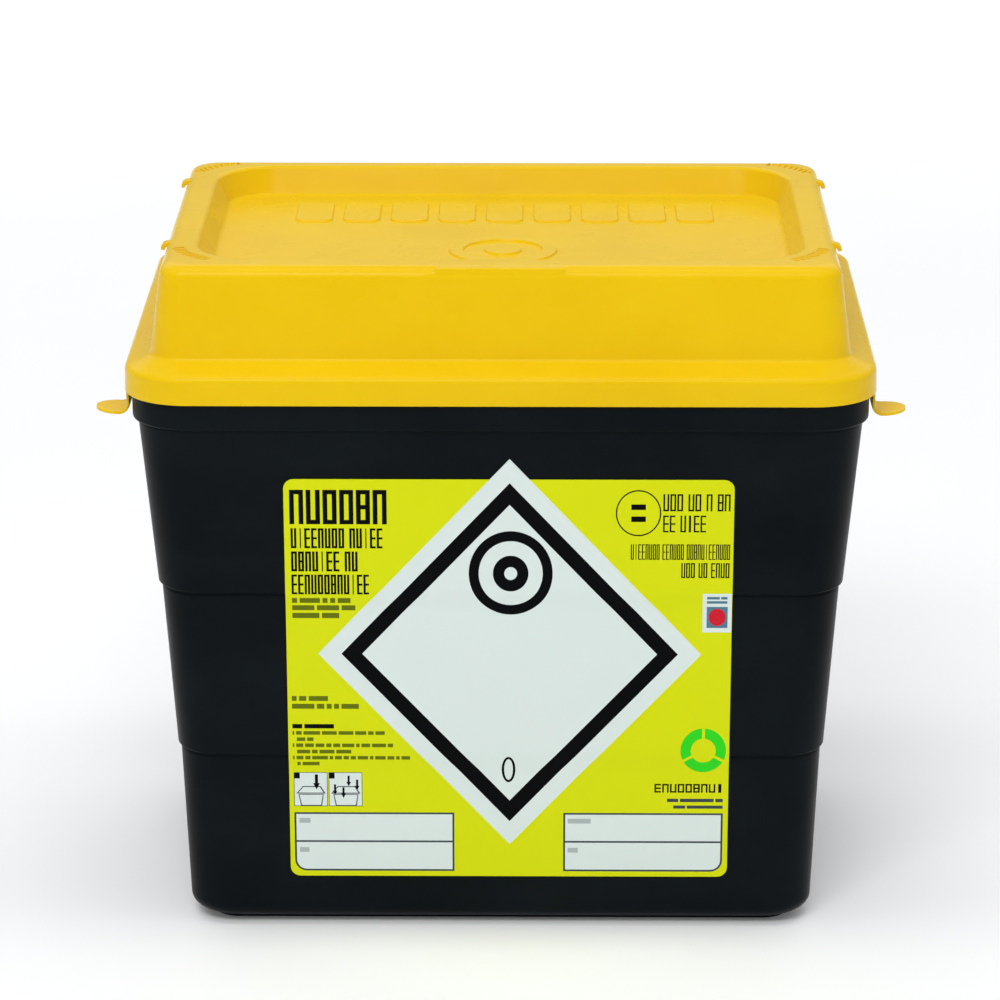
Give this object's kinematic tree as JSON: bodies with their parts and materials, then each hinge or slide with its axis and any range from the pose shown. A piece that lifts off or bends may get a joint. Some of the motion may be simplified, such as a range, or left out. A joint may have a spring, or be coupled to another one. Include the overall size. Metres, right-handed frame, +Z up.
{
  "type": "sharps container",
  "caption": "Stepped rectangular tub for used needles with a hinged raised lid, locate tabs, corner catches, a bail handle and a front label.",
  "frame": {"origin": "centre of the bounding box in plan, at the surface the container stands on", "axes": "+X to the right along the long side, +Y to the rear, +Z up; the label faces -Y"},
  "size_m": [0.3016, 0.2058, 0.2618],
  "materials": {
    "black_plastic": "satin moulded polypropylene, near black",
    "yellow_plastic": "satin moulded polypropylene, warm yellow",
    "label_film": "printed film, yellow-green with black and pale print"
  },
  "bodies": {
    "base": {"base_tub": "black_plastic", "front_label": "label_film"},
    "lid": {"lid_shell": "yellow_plastic"},
    "tab_left": {"locate_tab_left": "yellow_plastic"},
    "tab_right": {"locate_tab_right": "yellow_plastic"},
    "catch_front_left": {"corner_catch_front_left": "yellow_plastic"},
    "catch_front_right": {"corner_catch_front_right": "yellow_plastic"},
    "catch_rear_left": {"corner_catch_rear_left": "yellow_plastic"},
    "catch_rear_right": {"corner_catch_rear_right": "yellow_plastic"},
    "handle": {"carry_handle": "yellow_plastic"}
  },
  "joints": [
    {"name": "lid_hinge", "type": "hinge", "parent": "base", "child": "lid", "pos_m": [0, 0.099, 0.2088], "axis": [-1, 0, 0], "range_deg": [0, 105]},
    {"name": "tab_left_flex", "type": "hinge", "parent": "lid", "child": "tab_left", "pos_m": [-0.139, -0.0694, 0.213], "axis": [0, 1, 0], "range_deg": [0, 20], "stiffness_Nm_per_rad": 0.02},
    {"name": "tab_right_flex", "type": "hinge", "parent": "lid", "child": "tab_right", "pos_m": [0.139, -0.0694, 0.213], "axis": [0, -1, 0], "range_deg": [0, 20], "stiffness_Nm_per_rad": 0.02},
    {"name": "catch_front_left_flex", "type": "hinge", "parent": "lid", "child": "catch_front_left", "pos_m": [-0.131, -0.0669, 0.2238], "axis": [0, -1, 0], "range_deg": [0, 8], "stiffness_Nm_per_rad": 0.02},
    {"name": "catch_front_right_flex", "type": "hinge", "parent": "lid", "child": "catch_front_right", "pos_m": [0.131, -0.0669, 0.2238], "axis": [0, 1, 0], "range_deg": [0, 8], "stiffness_Nm_per_rad": 0.02},
    {"name": "catch_rear_left_flex", "type": "hinge", "parent": "lid", "child": "catch_rear_left", "pos_m": [-0.131, 0.0611, 0.2238], "axis": [0, -1, 0], "range_deg": [0, 8], "stiffness_Nm_per_rad": 0.02},
    {"name": "catch_rear_right_flex", "type": "hinge", "parent": "lid", "child": "catch_rear_right", "pos_m": [0.131, 0.0611, 0.2238], "axis": [0, 1, 0], "range_deg": [0, 8], "stiffness_Nm_per_rad": 0.02},
    {"name": "handle_swing", "type": "hinge", "parent": "lid", "child": "handle", "pos_m": [0, 0.0911, 0.231], "axis": [-1, 0, 0], "range_deg": [0, 110]}
  ]
}
